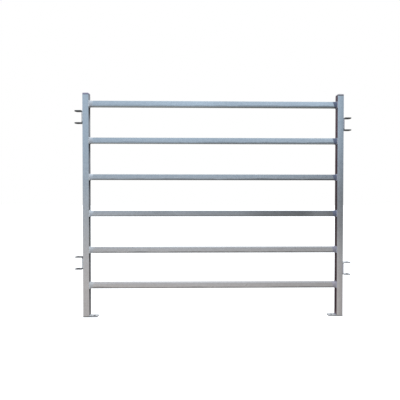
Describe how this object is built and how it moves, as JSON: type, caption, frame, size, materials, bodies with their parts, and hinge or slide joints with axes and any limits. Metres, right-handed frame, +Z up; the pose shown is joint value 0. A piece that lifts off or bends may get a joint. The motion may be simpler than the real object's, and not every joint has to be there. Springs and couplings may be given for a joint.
{
  "type": "livestock yard panel",
  "caption": "Free-standing welded stock panel of square galvanised tube, with pin lugs on both sides that hinge or join it to the next panel and flat feet.",
  "frame": {"origin": "on the ground, in the middle of the panel's length and depth", "axes": "+X along the panel towards the side with the lower lugs, +Y through the panel away from its front, +Z up"},
  "size_m": [2.236, 0.054, 1.8],
  "materials": {
    "galvanised_tube": "pre-galvanised tube, satin, fine spangle",
    "galvanised_plate": "galvanised flat bar, satin to dull",
    "zinc_painted_weld": "weld bead under a dull coat of zinc-rich paint",
    "cap_plastic": "moulded polyethylene, satin"
  },
  "bodies": {
    "root": {"left_post": "galvanised_tube", "left_post_cap": "cap_plastic", "left_foot": "galvanised_plate", "left_foot_weld": "zinc_painted_weld", "right_post": "galvanised_tube", "right_post_cap": "cap_plastic", "right_foot": "galvanised_plate", "right_foot_weld": "zinc_painted_weld", "top_rail": "galvanised_tube", "top_rail_left_weld": "zinc_painted_weld", "top_rail_right_weld": "zinc_painted_weld", "second_rail": "galvanised_tube", "second_rail_left_weld": "zinc_painted_weld", "second_rail_right_weld": "zinc_painted_weld", "third_rail": "galvanised_tube", "third_rail_left_weld": "zinc_painted_weld", "third_rail_right_weld": "zinc_painted_weld", "fourth_rail": "galvanised_tube", "fourth_rail_left_weld": "zinc_painted_weld", "fourth_rail_right_weld": "zinc_painted_weld", "fifth_rail": "galvanised_tube", "fifth_rail_left_weld": "zinc_painted_weld", "fifth_rail_right_weld": "zinc_painted_weld", "bottom_rail": "galvanised_tube", "bottom_rail_left_weld": "zinc_painted_weld", "bottom_rail_right_weld": "zinc_painted_weld", "upper_left_lug_bracket": "galvanised_plate", "upper_left_bracket_weld": "zinc_painted_weld", "lower_left_lug_bracket": "galvanised_plate", "lower_left_bracket_weld": "zinc_painted_weld", "upper_right_lug_bracket": "galvanised_plate", "upper_right_bracket_weld": "zinc_painted_weld", "lower_right_lug_bracket": "galvanised_plate", "lower_right_bracket_weld": "zinc_painted_weld"}
  },
  "joints": []
}
